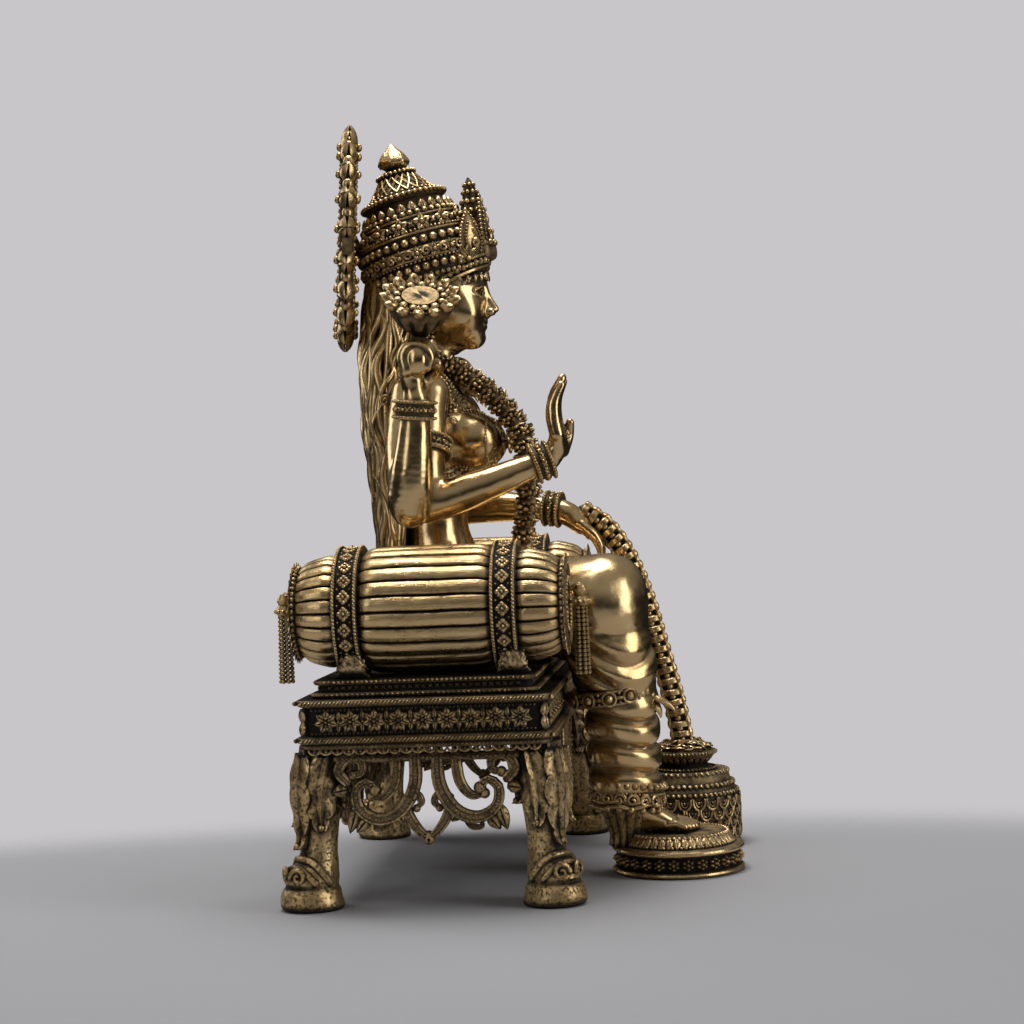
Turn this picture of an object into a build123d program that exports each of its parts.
from build123d import *

import os
from math import cos, radians, sin

# A cast brass figure of a seated four-armed goddess on a cabriole-legged throne, in millimetres.
#
# She faces -Y, +Z is up and her right-hand side is -X. The origin is on the floor, at the centre of the
# footprint. Heights are above the floor. Depths of the throne and the figure are measured from the throne's
# own centre line, which stands THRONE_Y behind the origin, so at() and THRONE_Y carry them into the frame.

os.makedirs("parts", exist_ok=True)

# ---- driving dimensions -------------------------------------------------------------------------
THRONE_Y = 12.8  # centre line of the throne, behind the origin

SEAT_HALF_X, SEAT_HALF_Y = 44.0, 22.0  # outer size of the frieze
SEAT_CORNER_R = 3.0
FRINGE_LOW, FRIEZE_LOW, FRIEZE_TOP, SEAT_TOP = 26.4, 28.4, 35.9, 39.0
FRIEZE_LIP, FRIEZE_RECESS = 1.1, 0.9
SLAB_INSET = 3.6  # how far the seat slab stands in from the frieze
SLAB_FOOT_H, SLAB_FOOT_PROUD = 1.0, 0.9
SLAB_LIP_H, SLAB_LIP_PROUD = 0.8, 0.5
FRINGE_INSET, FRINGE_RIM = 1.0, 5.0  # the fringe hangs as a rim this wide

LEG_X, LEG_Y = 38.4, 20.4  # centre of each foot, from the throne's centre
FOOT_R, FOOT_H = 6.2, 3.8
INSTEP_R, INSTEP_TOP = 4.5, 7.6
LEG_SECTIONS = (  # height, outward offset, radius
    (6.2, -0.3, 3.8),
    (11.0, -1.2, 3.4),
    (16.0, -1.4, 3.9),
    (21.5, -1.6, 4.7),
    (FRINGE_LOW, -2.4, 4.6),
)

APRON_T = 2.4  # thickness of the openwork
APRON_RAIL = 1.6
SCROLL_W = 1.5  # width of a scroll's band
SIDE_APRON_U = 15.2  # half length of a side apron
LONG_APRON_U = 33.4  # half length of the front and back aprons
LONG_MOTIF_U = 16.0  # where the long aprons repeat the motif

BOLSTER_X, BOLSTER_Z, BOLSTER_R = 31.0, 50.2, 11.0
BOLSTER_BACK, BOLSTER_FRONT = 22.4, -23.6
BAND_AT = (13.0, -14.0)
BAND_HALF_W, BAND_DEEP, BAND_PROUD = 2.1, 0.7, 0.4
BOLSTER_END_R = 8.2
CAP_R, CAP_T = 7.2, 0.9
TASSEL_TOP_R, TASSEL_LOW_R, TASSEL_LEN = 0.8, 1.6, 14.5
TAB_X, TAB_AT, TAB_SIZE = 38.0, (12.4, -15.2), (4.4, 5.6, 4.4)  # brazing tabs under the bands

NECK_R, NECK_LEN = 3.5, 9.0
EAR_FLOWER_X, EAR_FLOWER_R, EAR_FLOWER_T = 9.6, 2.7, 2.4
CREST_HALF_T = 2.1
CROWN_BASE = (0.0, 1.9, 109.5)
CROWN_TILT = 14.5  # degrees, leaning back

HALO_Z, HALO_Y, HALO_T = 118.3, 16.95, 1.9
HALO_TILT = 3.5  # degrees, leaning forward at the top
HALO_TWIST = 9.8  # degrees, her right edge swung forward
HALO_DISC_R, HALO_RING_R, HALO_TIP_R = 14.5, 17.0, 20.6
HALO_LEAVES = 20
HALO_TOP_Z = 140.0
HALO_BRACKET_R, HALO_BRACKET_Y, HALO_BRACKET_Z = 2.2, 10.0, 115.6

FOOTREST_X, FOOTREST_Y, FOOTREST_R = -8.0, -41.0, 11.6
DRUM_H, LOTUS_TIER_R, LOTUS_TIER_TOP = 5.0, 10.3, 7.0
DRUM_GROOVE_H, DRUM_GROOVE_DEEP = 2.6, 0.7
TIER_TAPER = 0.9
HEEL_AT, HEEL_LOW_R, HEEL_TOP_R, HEEL_H = (-9.8, -32.0), 3.0, 5.2, 8.0

POT_X, POT_Y = 22.0, -42.0
POT_R, POT_SHOULDER_Z, POT_NECK_R, POT_RIM_R = 10.6, 11.6, 4.6, 6.4
POT_NECK_LOW, POT_RIM_LOW, POT_TOP = 14.4, 16.6, 18.4

STUD_R, NUT_AF, NUT_H = 2.0, 7.0, 3.0  # M4 stud and nut that clamp the figure to the seat
STUD_Y = 2.0  # behind the throne's centre line
STUD_LOW, STUD_TOP = FRIEZE_LOW - NUT_H - 1.0, SEAT_TOP + 6.0
STUD_HOLE = 20.0  # long enough to pass right through the seat


# ---- helpers ------------------------------------------------------------------------------------
def at(x, y, z):
    """A point given from the throne's centre line."""
    return Vector(x, THRONE_Y + y, z)


def write(builder, name, whole=True):
    """Writes one finished piece; a whole one drops the crumbs that trimming can leave beside it."""
    shape = builder.part
    if whole and len(shape.solids()) > 1:
        shape = Part(children=[]) + max(shape.solids(), key=lambda s: s.volume)
    shape.label = name
    export_step(shape, f"parts/{name}.step")
    return shape


def limb(points):
    """Adds a round tapering limb along a list of (point, radius) to the part being built."""
    for point, radius in points:
        with Locations(point):
            Sphere(radius)
    for (start, r0), (end, r1) in zip(points, points[1:]):
        axis = end - start
        with Locations(Plane(origin=start, z_dir=axis)):
            if r0 == r1:
                Cylinder(r0, axis.length, align=(Align.CENTER, Align.CENTER, Align.MIN))
            else:
                Cone(r0, r1, axis.length, align=(Align.CENTER, Align.CENTER, Align.MIN))


def ring(centre, axis, inner, outer, width):
    """Adds a plain ring around an axis to the part being built."""
    with BuildSketch(Plane(origin=centre - axis.normalized() * width / 2, z_dir=axis)) as face:
        Circle(outer)
        Circle(inner, mode=Mode.SUBTRACT)
    extrude(face.sketch, amount=width)


def cut(*shapes):
    """Trims the part being built to the pieces it is brazed to."""
    for shape in shapes:
        add(shape, mode=Mode.SUBTRACT)


# ---- throne -------------------------------------------------------------------------------------
def rounded_slab(low, high, inset):
    """Adds one layer of the seat to the part being built."""
    with BuildSketch(Plane.XY.offset(low)) as outline:
        with Locations((0, THRONE_Y)):
            RectangleRounded(
                2 * (SEAT_HALF_X - inset), 2 * (SEAT_HALF_Y - inset), SEAT_CORNER_R
            )
    extrude(outline.sketch, amount=high - low)


with BuildPart() as seat_frieze:
    rounded_slab(FRIEZE_LOW, FRIEZE_LOW + FRIEZE_LIP, 0)
    rounded_slab(FRIEZE_LOW + FRIEZE_LIP, FRIEZE_TOP - FRIEZE_LIP, FRIEZE_RECESS)
    rounded_slab(FRIEZE_TOP - FRIEZE_LIP, FRIEZE_TOP, 0)
    with Locations(at(0, STUD_Y, FRIEZE_LOW)):
        Cylinder(STUD_R, STUD_HOLE, mode=Mode.SUBTRACT)

with BuildPart() as seat_fringe:
    rounded_slab(FRINGE_LOW, FRIEZE_LOW, FRINGE_INSET)
    with BuildSketch(Plane.XY.offset(FRINGE_LOW)):
        with Locations((0, THRONE_Y)):
            inset = FRINGE_INSET + FRINGE_RIM
            Rectangle(2 * (SEAT_HALF_X - inset), 2 * (SEAT_HALF_Y - inset))
    extrude(amount=FRIEZE_LOW - FRINGE_LOW, mode=Mode.SUBTRACT)

with BuildPart() as seat_slab:
    rounded_slab(FRIEZE_TOP, FRIEZE_TOP + SLAB_FOOT_H, SLAB_INSET - SLAB_FOOT_PROUD)
    rounded_slab(FRIEZE_TOP + SLAB_FOOT_H, SEAT_TOP - SLAB_LIP_H, SLAB_INSET)
    rounded_slab(SEAT_TOP - SLAB_LIP_H, SEAT_TOP, SLAB_INSET - SLAB_LIP_PROUD)
    with Locations(at(0, STUD_Y, SEAT_TOP)):
        Cylinder(STUD_R, STUD_HOLE, mode=Mode.SUBTRACT)

seat_frieze_shape = write(seat_frieze, "seat_frieze")
seat_fringe_shape = write(seat_fringe, "seat_fringe")
seat_slab_shape = write(seat_slab, "seat_slab")


def make_leg(side_x, side_y):
    """A cabriole leg with a scrolled toe, at one corner of the throne."""
    out = Vector(side_x, side_y, 0).normalized()
    foot = at(side_x * LEG_X, side_y * LEG_Y, 0)
    with BuildPart() as leg:
        for height, offset, radius in LEG_SECTIONS:
            centre = foot + out * offset
            with BuildSketch(Plane.XY.offset(height)):
                with Locations((centre.X, centre.Y)):
                    Circle(radius)
        loft()
        with Locations((foot.X, foot.Y, FOOT_H / 2)):
            Cylinder(FOOT_R, FOOT_H)
        fillet(leg.faces().sort_by(Axis.Z)[0].edges(), 0.8)
        instep = foot + out * 0.6
        with Locations((instep.X, instep.Y, 0)):
            Cone(
                INSTEP_R + 0.8,
                INSTEP_R - 1.0,
                INSTEP_TOP,
                align=(Align.CENTER, Align.CENTER, Align.MIN),
            )
    return leg


leg_shapes = []
for side_x, x_name in ((-1, "right"), (1, "left")):
    for side_y, y_name in ((-1, "front"), (1, "back")):
        leg_shapes.append(write(make_leg(side_x, side_y), f"throne_leg_{y_name}_{x_name}"))

# One scroll motif, drawn from its centre line: half of it, as lists of points for splines.
MOTIF_SCROLLS = (
    ((1.9, 25.4), (2.2, 20.5), (5.0, 16.6), (8.6, 15.6), (11.6, 17.6), (12.4, 21.0)),
    ((4.6, 25.4), (5.6, 21.2), (8.0, 19.2), (9.6, 21.2), (8.6, 23.4)),
    ((12.4, 21.0), (14.4, 23.6), (12.4, 25.4), (10.9, 23.6), (12.2, 22.6)),
    ((3.0, 18.6), (2.5, 16.0), (0.0, 13.0)),
)
MOTIF_VOLUTE = (1.7, 18.3, 1.15)  # u, height, radius
MOTIF_LEAF = (11.3, 15.6, 1.1, 2.6)  # u, height, half width, half length


def motif(centre_u):
    """Adds one symmetric scroll motif to the sketch being drawn."""
    for sign in (-1, 1):
        for points in MOTIF_SCROLLS:
            with BuildLine() as route:
                Spline(*[(centre_u + sign * u, v) for u, v in points])
            trace(route.line, SCROLL_W)
        u, v, r = MOTIF_VOLUTE
        with Locations((centre_u + sign * u, v)):
            Circle(r)
        u, v, half_w, half_l = MOTIF_LEAF
        with Locations((centre_u + sign * u, v)):
            Ellipse(half_w, half_l)
    with Locations((centre_u, 13.2)):
        Circle(1.1)


def make_apron(plane, half_u, centres):
    """An openwork apron that hangs under the fringe between two legs."""
    with BuildPart() as apron:
        with BuildSketch(plane):
            with Locations((0, FRINGE_LOW - APRON_RAIL / 2)):
                Rectangle(2 * half_u, APRON_RAIL)
            for centre_u in centres:
                motif(centre_u)
        extrude(amount=APRON_T / 2, both=True)
        cut(*leg_shapes)
    return apron


side_inset = SEAT_HALF_X - 3.4
long_inset = SEAT_HALF_Y - 3.4
side_planes = {
    name: Plane(origin=at(sign * side_inset, 0, 0), x_dir=(0, 1, 0), z_dir=(1, 0, 0))
    for name, sign in (("right", -1), ("left", 1))
}
long_planes = {
    name: Plane(origin=at(0, sign * long_inset, 0), x_dir=(1, 0, 0), z_dir=(0, -1, 0))
    for name, sign in (("front", -1), ("back", 1))
}
for name, plane in side_planes.items():
    write(make_apron(plane, SIDE_APRON_U, (0,)), f"apron_{name}")
for name, plane in long_planes.items():
    write(
        make_apron(plane, LONG_APRON_U, (-LONG_MOTIF_U, LONG_MOTIF_U)), f"apron_{name}"
    )


# ---- bolsters -----------------------------------------------------------------------------------
def bolster_profile():
    """Half outline of a bolster as (depth, radius), with a groove under each band."""
    middle = (BOLSTER_FRONT + BOLSTER_BACK) / 2
    half = (BOLSTER_BACK - BOLSTER_FRONT) / 2

    def radius(y):
        t = abs(y - middle) / half
        return BOLSTER_R - (BOLSTER_R - BOLSTER_END_R) * t**3.2

    depths = [BOLSTER_BACK]
    for band in BAND_AT:
        depths += [band + BAND_HALF_W, band - BAND_HALF_W]
    depths.append(BOLSTER_FRONT)
    return depths, radius


def make_bolster(centre_x):
    """A barrel-shaped bolster that lies along the throne's side."""
    depths, radius = bolster_profile()
    section = Plane(origin=at(centre_x, 0, BOLSTER_Z), x_dir=(0, 1, 0), z_dir=(-1, 0, 0))
    with BuildPart() as body:
        with BuildSketch(section):
            with BuildLine():
                groove = radius(BAND_AT[0]) - BAND_DEEP
                back, b0, b1, f0, f1, front = depths
                Polyline((front, 0), (back, 0), (back, radius(back)))
                Line((back, radius(back)), (b0, radius(b0)))
                Polyline((b0, radius(b0)), (b0, groove), (b1, groove), (b1, radius(b1)))
                ThreePointArc(
                    (b1, radius(b1)), ((b1 + f0) / 2, BOLSTER_R), (f0, radius(f0))
                )
                Polyline((f0, radius(f0)), (f0, groove), (f1, groove), (f1, radius(f1)))
                Polyline((f1, radius(f1)), (front, radius(front)), (front, 0))
            make_face()
        revolve(axis=Axis(at(centre_x, 0, BOLSTER_Z), (0, 1, 0)))
    with BuildPart() as bands:
        for depth in BAND_AT:
            ring(
                at(centre_x, depth, BOLSTER_Z),
                Vector(0, 1, 0),
                groove,
                BOLSTER_R + BAND_PROUD,
                2 * BAND_HALF_W,
            )
        cut(seat_slab_shape)
    with BuildPart() as caps:
        for depth, way in ((BOLSTER_BACK, 1), (BOLSTER_FRONT, -1)):
            plane = Plane(origin=at(centre_x, depth, BOLSTER_Z), z_dir=(0, way, 0))
            with BuildSketch(plane):
                Circle(CAP_R)
            extrude(amount=CAP_T)
            with BuildSketch(plane.offset(CAP_T)):
                Circle(1.5)
            extrude(amount=0.5)
    return body, bands, caps


def make_tassels(centre_x):
    """A beaded tassel that hangs from the middle of each end of a bolster."""
    with BuildPart() as tassels:
        for depth, way in ((BOLSTER_BACK, 1), (BOLSTER_FRONT, -1)):
            y = depth + way * (CAP_T + 0.5 + TASSEL_LOW_R)
            top = at(centre_x, y, BOLSTER_Z + 1.6)
            low = top - Vector(0, 0, TASSEL_LEN)
            with Locations(low):
                Cone(
                    TASSEL_LOW_R,
                    TASSEL_TOP_R,
                    TASSEL_LEN - 2,
                    align=(Align.CENTER, Align.CENTER, Align.MIN),
                )
            with Locations(top - Vector(0, 0, 1.6)):
                Cylinder(TASSEL_LOW_R, 2.6)
    return tassels


bolster_shapes = []
for side_x, x_name in ((-1, "right"), (1, "left")):
    body, bands, caps = make_bolster(side_x * BOLSTER_X)
    bolster_shapes.append(write(body, f"bolster_{x_name}"))
    bolster_shapes.append(write(bands, f"bolster_bands_{x_name}", whole=False))
    bolster_shapes.append(write(caps, f"bolster_caps_{x_name}", whole=False))
    write(make_tassels(side_x * BOLSTER_X), f"tassels_{x_name}", whole=False)
    with BuildPart() as tabs:
        for depth in TAB_AT:
            with Locations(at(side_x * TAB_X, depth, SEAT_TOP + TAB_SIZE[2] / 2)):
                Box(*TAB_SIZE)
        cut(*bolster_shapes[-3:-1])
    write(tabs, f"brazing_tabs_{x_name}", whole=False)

# ---- figure: body -------------------------------------------------------------------------------
TORSO_SECTIONS = (  # height, half width, half depth, depth of the centre
    (SEAT_TOP, 13.0, 10.0, 2.0),
    (46.0, 13.6, 10.4, 2.0),
    (54.0, 10.4, 8.4, 2.6),
    (63.0, 8.0, 6.0, 3.2),
    (72.0, 9.2, 6.8, 1.8),
    (79.0, 11.2, 8.0, 0.6),
    (86.0, 13.0, 6.4, 1.6),
    (91.0, 8.4, 4.8, 2.0),
    (93.6, 4.2, 4.0, 1.2),
)
HEAD_SECTIONS = (
    (96.8, 2.8, 3.0, -4.4),
    (99.0, 4.8, 5.8, -2.2),
    (102.5, 6.7, 8.0, -0.8),
    (107.0, 7.8, 8.8, -0.2),
    (111.5, 8.0, 8.8, 0.3),
    (116.0, 7.0, 7.8, 1.0),
    (119.4, 4.0, 4.8, 2.0),
)
HAIR_SECTIONS = (
    (SEAT_TOP + 1.0, 8.6, 3.2, 10.0),
    (55.0, 9.6, 3.4, 10.4),
    (70.0, 11.2, 3.8, 10.4),
    (85.0, 12.6, 4.6, 10.2),
    (96.0, 11.0, 6.2, 9.0),
    (104.0, 9.0, 6.8, 7.6),
    (111.0, 8.0, 6.2, 6.8),
)


def oval_loft(sections):
    """Adds a loft through level ovals to the part being built."""
    ovals = []
    for height, half_x, half_y, centre_y in sections:
        with BuildSketch(Plane.XY.offset(height)) as oval:
            with Locations((0, THRONE_Y + centre_y)):
                Ellipse(half_x, half_y)
        ovals.append(oval.sketch)
    loft(ovals)


with BuildPart() as torso:
    oval_loft(TORSO_SECTIONS)
    for side in (-1, 1):
        with Locations(at(side * 5.6, -5.2, 79.6)):
            Sphere(5.0, rotation=(90, 0, 0))
    with Locations(at(0, STUD_Y, SEAT_TOP)):
        Cylinder(STUD_R, 2 * (STUD_TOP - SEAT_TOP), mode=Mode.SUBTRACT)

with BuildPart() as head:
    oval_loft(HEAD_SECTIONS)
    limb(((at(0, -8.4, 108.4), 0.8), (at(0, -9.8, 104.6), 1.1)))
    with Locations(at(0, 1.0, 96.5)):
        Cylinder(NECK_R, NECK_LEN)
    cut(torso.part)

with BuildPart() as hair:
    oval_loft(HAIR_SECTIONS)
    cut(torso.part, head.part)

torso_shape = write(torso, "torso")
head_shape = write(head, "head")
hair_shape = write(hair, "hair")

# ---- figure: crown ------------------------------------------------------------------------------
crown_up = Vector(0, sin(radians(CROWN_TILT)), cos(radians(CROWN_TILT)))
crown_base = at(*CROWN_BASE)
crown_plane = Plane(origin=crown_base, x_dir=(1, 0, 0), z_dir=Vector(1, 0, 0).cross(crown_up))
CROWN_PROFILE = (  # radius, distance along the crown's axis
    (10.6, 0.6),
    (11.0, 3.0),
    (10.8, 7.0),
    (10.0, 10.6),
    (8.4, 13.4),
    (7.4, 15.2),
    (7.9, 16.4),
    (5.4, 18.4),
    (3.2, 20.6),
    (3.8, 21.6),
)
FINIAL_START = 21.6
FINIAL_PROFILE = (
    (2.0, 22.0),
    (2.9, 23.4),
    (2.2, 25.2),
    (0.3, 27.4),
)


def crown_section(profile, start):
    """Revolves an outline of (radius, distance) about the crown's axis."""
    with BuildSketch(crown_plane) as half:
        with BuildLine():
            top = (0, profile[-1][1])
            Polyline((0, start), (profile[0][0], start), *profile, top, close=True)
        make_face()
    revolve(half.sketch, axis=Axis(crown_base, crown_up))


with BuildPart() as crown:
    crown_section(CROWN_PROFILE, 0.0)
    cut(head_shape, hair_shape)
with BuildPart() as crown_finial:
    crown_section(FINIAL_PROFILE, FINIAL_START)

with BuildPart() as crown_crest:
    with BuildSketch(
        Plane(origin=at(0, -8.4, 114.0), x_dir=(1, 0, 0), z_dir=(0, -1, 0.12))
    ):
        with BuildLine():
            Polyline((0, -1.5), (3.2, -0.5), (4.6, 4.0), (3.4, 9.0), (0, 15.6))
            Polyline((0, 15.6), (-3.4, 9.0), (-4.6, 4.0), (-3.2, -0.5), (0, -1.5))
        make_face()
    extrude(amount=CREST_HALF_T, both=True)
    cut(crown.part, head_shape)

with BuildPart() as ear_flowers:
    for side in (-1, 1):
        with Locations(Plane(origin=at(side * EAR_FLOWER_X, 0.6, 106.6), z_dir=(side, 0, 0))):
            Cylinder(EAR_FLOWER_R, EAR_FLOWER_T)
    cut(head_shape, crown.part, hair_shape)

crown_shape = write(crown, "crown")
write(crown_finial, "crown_finial")
write(crown_crest, "crown_crest")
ear_shape = write(ear_flowers, "ear_flowers", whole=False)

# ---- halo ---------------------------------------------------------------------------------------
halo_lean, halo_twist = radians(HALO_TILT), radians(HALO_TWIST)
halo_plane = Plane(
    origin=at(0, HALO_Y, HALO_Z),
    x_dir=(cos(halo_twist), sin(halo_twist), 0),
    z_dir=(sin(halo_twist) * cos(halo_lean), -cos(halo_twist) * cos(halo_lean), -sin(halo_lean)),
)

with BuildPart() as halo_disc:
    with BuildSketch(halo_plane):
        Circle(HALO_DISC_R)
    extrude(amount=HALO_T / 2, both=True)

with BuildPart() as halo_leaves:
    with BuildSketch(halo_plane):
        Circle(HALO_RING_R)
        with PolarLocations(HALO_RING_R - 0.4, HALO_LEAVES):
            Ellipse(HALO_TIP_R - HALO_RING_R + 0.8, 2.3)
        with BuildLine():
            tip = (0, (HALO_TOP_Z - HALO_Z) / cos(halo_lean) - 0.1)
            Polyline((-2.6, 16.5), (-1.6, 19.8), tip, (1.6, 19.8), (2.6, 16.5), close=True)
        make_face()
        Circle(HALO_DISC_R, mode=Mode.SUBTRACT)
    extrude(amount=HALO_T / 2 + 0.9, both=True)

with BuildPart() as halo_bracket:
    with Locations(Plane(origin=at(0, HALO_BRACKET_Y, HALO_BRACKET_Z), z_dir=(0, 1, 0))):
        length = HALO_Y - HALO_BRACKET_Y
        Cylinder(HALO_BRACKET_R, length, align=(Align.CENTER, Align.CENTER, Align.MIN))
    cut(crown_shape, hair_shape, head_shape, halo_disc.part)

write(halo_disc, "halo_disc")
write(halo_leaves, "halo_leaves")
write(halo_bracket, "halo_bracket")

# ---- figure: legs and drapery -------------------------------------------------------------------
SHIN_TOP, SHIN_LOW = at(-13.2, -27.8, 48.4), at(-10.8, -32.0, 17.6)
KNEE_BAND_DROP, KNEE_BAND_R, KNEE_BAND_W = 15.6, 8.3, 3.4
ANKLET_DROP, ANKLET_R, ANKLET_W = 2.4, 6.9, 3.0
BELT_LOW, BELT_W, BELT_Y, BELT_HALF_X, BELT_HALF_Y = 56.5, 3.4, 2.8, 11.2, 9.2

with BuildPart() as leg_pendant:
    limb(
        (
            (at(-8.0, -3.0, 48.4), 8.8),
            (SHIN_TOP, 8.9),
            (SHIN_LOW, 6.1),
        )
    )
    cut(torso_shape, seat_slab_shape, seat_frieze_shape, *bolster_shapes)

with BuildPart() as leg_folded:
    limb(
        (
            (at(7.6, -3.0, 47.4), 8.0),
            (at(12.6, -17.6, 46.4), 6.8),
            (at(3.2, -21.4, 44.0), 4.4),
        )
    )
    cut(torso_shape, leg_pendant.part, seat_slab_shape, *bolster_shapes)

with BuildPart() as foot_pendant:
    limb(
        (
            (at(-10.4, -30.6, 11.6), 3.9),
            (at(-9.4, -38.0, 9.6), 2.5),
            (at(-8.6, -43.6, 8.4), 1.4),
        )
    )
    cut(leg_pendant.part)

with BuildPart() as foot_folded:
    limb(
        (
            (at(-1.6, -24.6, 42.2), 2.5),
            (at(-5.6, -29.4, 41.4), 1.7),
        )
    )
    cut(leg_folded.part, leg_pendant.part)

leg_pendant_shape = write(leg_pendant, "leg_pendant")
leg_folded_shape = write(leg_folded, "leg_folded")
foot_pendant_shape = write(foot_pendant, "foot_pendant")
write(foot_folded, "foot_folded")

shin_axis = (SHIN_LOW - SHIN_TOP).normalized()
with BuildPart() as knee_band:
    ring(SHIN_TOP + shin_axis * KNEE_BAND_DROP, shin_axis, 5.0, KNEE_BAND_R, KNEE_BAND_W)
    cut(leg_pendant_shape)
with BuildPart() as anklet:
    ring(SHIN_LOW + shin_axis * ANKLET_DROP, shin_axis, 2.0, ANKLET_R, ANKLET_W)
    cut(leg_pendant_shape, foot_pendant_shape)
with BuildPart() as waist_belt:
    with BuildSketch(Plane.XY.offset(BELT_LOW)):
        with Locations((0, THRONE_Y + BELT_Y)):
            Ellipse(BELT_HALF_X, BELT_HALF_Y)
    extrude(amount=BELT_W)
    cut(torso_shape, hair_shape, leg_pendant_shape, leg_folded_shape)
write(knee_band, "knee_band")
write(anklet, "anklet")
waist_belt_shape = write(waist_belt, "waist_belt")

# ---- figure: arms -------------------------------------------------------------------------------
# Each arm is shoulder, elbow, wrist, palm and fingertips, for the right-hand side, as (point, radius).
FRONT_ARM_RAISED = (
    (at(-15.0, 0.0, 88.0), 3.8),
    (at(-23.4, 0.4, 68.4), 3.6),
    (at(-19.6, -21.0, 75.0), 2.5),
    (at(-19.6, -24.0, 76.8), 2.7),
    (at(-19.6, -24.6, 88.6), 1.4),
)
FRONT_ARM_GIVING = (
    (at(15.0, 0.0, 88.0), 3.8),
    (at(23.4, 0.4, 67.6), 3.6),
    (at(18.2, -19.6, 66.2), 2.5),
    (at(18.6, -22.8, 64.4), 2.6),
    (at(20.0, -27.0, 58.6), 1.5),
)


def back_arm(side):
    """The raised rear arm, which holds a lotus; side is -1 for her right."""
    return (
        (at(side * 14.0, 4.6, 88.4), 3.8),
        (at(side * 26.6, 3.4, 68.0), 3.7),
        (at(side * 28.0, 1.4, 86.0), 2.6),
        (at(side * 28.2, 0.6, 92.4), 2.8),
        (at(side * 28.2, 0.0, 96.6), 2.0),
    )


BANGLE_W, BANGLE_BACK = 3.0, 1.0  # width, and how far behind the wrist
ARMLET_W, ARMLET_R, ARMLET_PLACE = 3.0, 4.5, 0.52  # place along the upper arm, from 0 to 1

body_shapes = (torso_shape, hair_shape)
arms = {
    "arm_front_right": FRONT_ARM_RAISED,
    "arm_front_left": FRONT_ARM_GIVING,
    "arm_back_right": back_arm(-1),
    "arm_back_left": back_arm(1),
}
arm_shapes = {}
for name, joints in arms.items():
    with BuildPart() as arm:
        limb(joints)
        cut(*body_shapes, *arm_shapes.values())
    arm_shapes[name] = write(arm, name)

with BuildPart() as bangles:
    for joints, radius in zip(arms.values(), (3.7, 3.7, 3.8, 3.8)):
        elbow, wrist = joints[1][0], joints[2][0]
        forearm = wrist - elbow
        ring(wrist - forearm.normalized() * BANGLE_BACK, forearm, 1.5, radius, BANGLE_W)
    cut(*arm_shapes.values(), *body_shapes)
write(bangles, "bangles", whole=False)

with BuildPart() as armlets:
    for name in ("arm_front_right", "arm_front_left"):
        shoulder, elbow = arms[name][0][0], arms[name][1][0]
        upper_arm = elbow - shoulder
        ring(shoulder + upper_arm * ARMLET_PLACE, upper_arm, 2.0, ARMLET_R, ARMLET_W)
    cut(*arm_shapes.values(), *body_shapes)
write(armlets, "armlets", whole=False)

LOTUS_R, LOTUS_T = 6.9, 1.8
LOTUS_LEAN = 38.0  # degrees, leaning outward
LOTUS_BOWL_H, LOTUS_BOWL_LOW_R, LOTUS_BOWL_TOP_R = 5.4, 1.6, 5.2
LOTUS_HEART_R, LOTUS_HEART_H = 3.2, 0.8
for side, name in ((-1, "right"), (1, "left")):
    lean = radians(LOTUS_LEAN)
    up = Vector(side * sin(lean), -0.12, cos(lean)).normalized()
    heart = at(side * 28.4, -0.4, 103.6)
    with BuildPart() as lotus:
        with Locations(Plane(origin=heart - up * LOTUS_BOWL_H, z_dir=up)):
            Cone(
                LOTUS_BOWL_LOW_R,
                LOTUS_BOWL_TOP_R,
                LOTUS_BOWL_H,
                align=(Align.CENTER, Align.CENTER, Align.MIN),
            )
        with Locations(Plane(origin=heart, z_dir=up)):
            Cylinder(LOTUS_R, LOTUS_T)
            with Locations((0, 0, LOTUS_T / 2)):
                Cylinder(LOTUS_HEART_R, LOTUS_HEART_H, align=(Align.CENTER, Align.CENTER, Align.MIN))
        limb(((at(side * 28.2, 0.2, 94.0), 1.0), (heart - up * 4.6, 1.4)))
        cut(arm_shapes[f"arm_back_{name}"], hair_shape)
    write(lotus, f"lotus_{name}")

# ---- necklaces and garland ----------------------------------------------------------------------
with BuildPart() as necklace:
    ring(at(0, 0.8, 91.6), Vector(0, -0.35, 1), 3.0, 7.0, 2.6)
    cut(torso_shape, head_shape, hair_shape)
necklace_shape = write(necklace, "necklace")

GARLAND = (  # right-hand strand, from the nape to the lap
    (6.2, -1.4, 94.0),
    (7.4, -9.6, 88.0),
    (7.4, -15.6, 80.4),
    (5.6, -16.6, 72.0),
    (2.6, -15.4, 62.0),
    (0.0, -13.4, 57.8),
)
GARLAND_R = 2.1
with BuildPart() as garland:
    for side in (-1, 1):
        limb([(at(side * x, y, z), GARLAND_R) for x, y, z in GARLAND])
    cut(torso_shape, head_shape, hair_shape, necklace_shape, waist_belt_shape)
    cut(*arm_shapes.values())
write(garland, "garland", whole=False)

with BuildPart() as lap_sash:
    with Locations(at(0.0, -12.0, 50.0)):
        Box(7.0, 12.0, 13.0)
    cut(torso_shape, leg_pendant_shape, leg_folded_shape, waist_belt_shape, garland.part)
write(lap_sash, "lap_sash")

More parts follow.
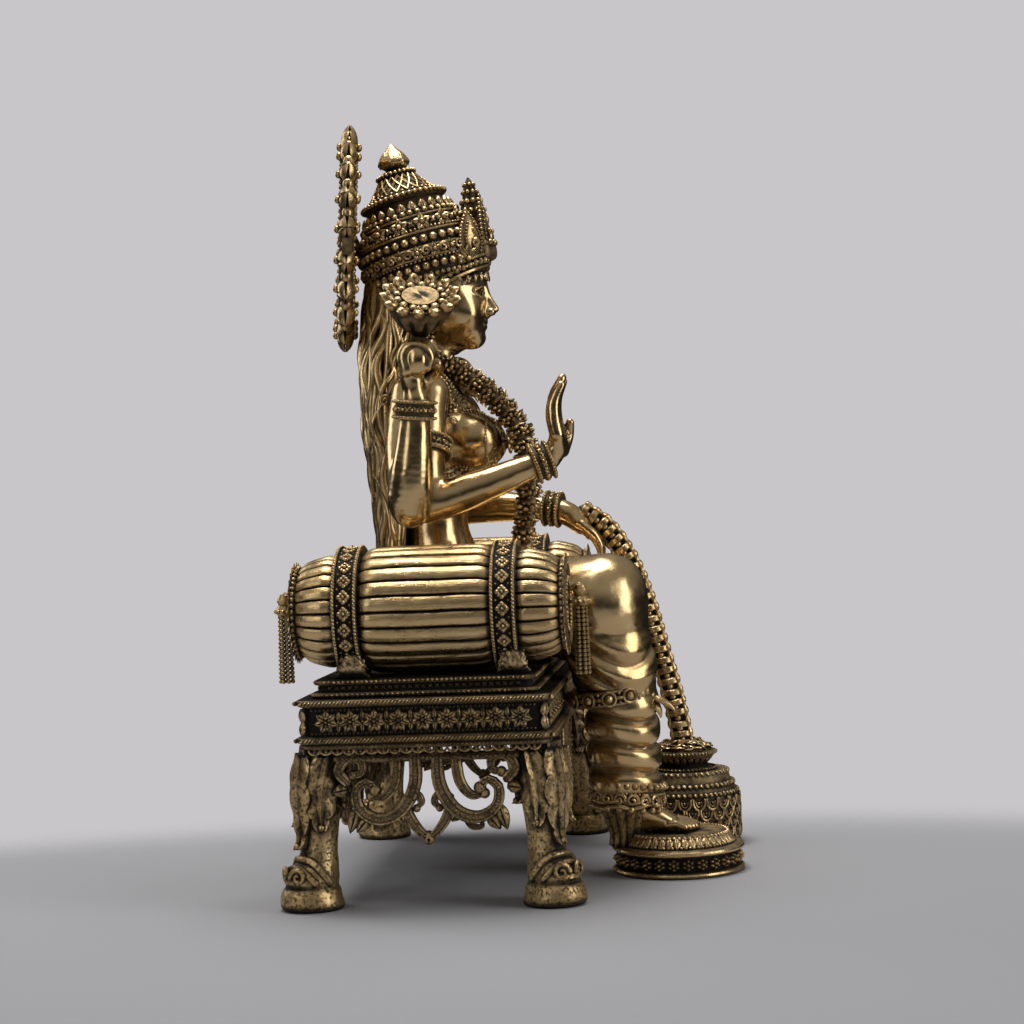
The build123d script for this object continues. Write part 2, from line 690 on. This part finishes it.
# ---- footrest, pot and coins --------------------------------------------------------------------
footrest = at(FOOTREST_X, FOOTREST_Y, 0)
with BuildPart() as footrest_drum:
    with Locations(footrest):
        Cylinder(FOOTREST_R, DRUM_H, align=(Align.CENTER, Align.CENTER, Align.MIN))
    with BuildSketch(Plane.XY.offset((DRUM_H - DRUM_GROOVE_H) / 2)):
        with Locations((footrest.X, footrest.Y)):
            Circle(FOOTREST_R + 1)
            Circle(FOOTREST_R - DRUM_GROOVE_DEEP, mode=Mode.SUBTRACT)
    extrude(amount=DRUM_GROOVE_H, mode=Mode.SUBTRACT)
with BuildPart() as footrest_lotus:
    with Locations(footrest + Vector(0, 0, DRUM_H)):
        Cone(
            LOTUS_TIER_R,
            LOTUS_TIER_R - TIER_TAPER,
            LOTUS_TIER_TOP - DRUM_H,
            align=(Align.CENTER, Align.CENTER, Align.MIN),
        )
    cut(foot_pendant_shape)
with BuildPart() as heel_block:
    with Locations(at(*HEEL_AT, DRUM_H)):
        Cone(HEEL_LOW_R, HEEL_TOP_R, HEEL_H, align=(Align.CENTER, Align.CENTER, Align.MIN))
    cut(foot_pendant_shape, leg_pendant_shape, footrest_lotus.part, anklet.part)
write(footrest_drum, "footrest_drum")
write(footrest_lotus, "footrest_lotus")
write(heel_block, "heel_block")

pot_axis = Axis(at(POT_X, POT_Y, 0), (0, 0, 1))
pot_plane = Plane(origin=at(POT_X, POT_Y, 0), x_dir=(1, 0, 0), z_dir=(0, -1, 0))


def pot_ring(*outline):
    """Adds a turned piece of the pot, from its outline of (radius, height)."""
    with BuildSketch(pot_plane) as half:
        with BuildLine():
            Polyline((0, outline[0][1]), *outline, (0, outline[-1][1]), close=True)
        make_face()
    revolve(half.sketch, axis=pot_axis)


with BuildPart() as pot_body:
    pot_ring(
        (POT_R - 0.8, 0),
        (POT_R, 0.9),
        (POT_R, POT_SHOULDER_Z - 0.8),
        (POT_R - 1.0, POT_SHOULDER_Z),
        (POT_R - 2.6, POT_NECK_LOW),
    )
with BuildPart() as pot_neck:
    pot_ring(
        (POT_NECK_R + 1.6, POT_NECK_LOW),
        (POT_NECK_R, POT_RIM_LOW - 1.0),
        (POT_NECK_R, POT_RIM_LOW),
        (POT_RIM_R, POT_RIM_LOW + 0.4),
        (POT_RIM_R, POT_TOP),
    )
with BuildPart() as coin_heap:
    pot_ring((POT_RIM_R - 0.9, POT_TOP), (POT_RIM_R - 1.6, POT_TOP + 1.0), (2.0, POT_TOP + 2.0))
write(pot_body, "pot_body")
write(pot_neck, "pot_neck")

COIN_ROUTE = (
    (20.4, -25.4, 64.6),
    (20.8, -30.6, 59.4),
    (21.2, -34.4, 51.4),
    (21.4, -37.0, 42.0),
    (21.6, -39.4, 32.0),
    (21.8, -41.4, 21.0),
)
COIN_R = 2.4
with BuildPart() as coin_stream:
    limb([(at(*point), COIN_R) for point in COIN_ROUTE])
    cut(arm_shapes["arm_front_left"], pot_neck.part)
with BuildPart() as coin_heap_trimmed:
    add(coin_heap.part)
    cut(coin_stream.part)
write(coin_stream, "coin_stream")
write(coin_heap_trimmed, "coin_heap", whole=False)

# ---- fixing -------------------------------------------------------------------------------------
with BuildPart() as figure_stud:
    with Locations(at(0, STUD_Y, STUD_LOW)):
        Cylinder(STUD_R, STUD_TOP - STUD_LOW, align=(Align.CENTER, Align.CENTER, Align.MIN))
with BuildPart() as figure_nut:
    with BuildSketch(Plane.XY.offset(FRIEZE_LOW - NUT_H)):
        with Locations((0, THRONE_Y + STUD_Y)):
            RegularPolygon(NUT_AF / 2, 6, major_radius=False)
            Circle(STUD_R, mode=Mode.SUBTRACT)
    extrude(amount=NUT_H)
write(figure_stud, "figure_stud")
write(figure_nut, "figure_nut")
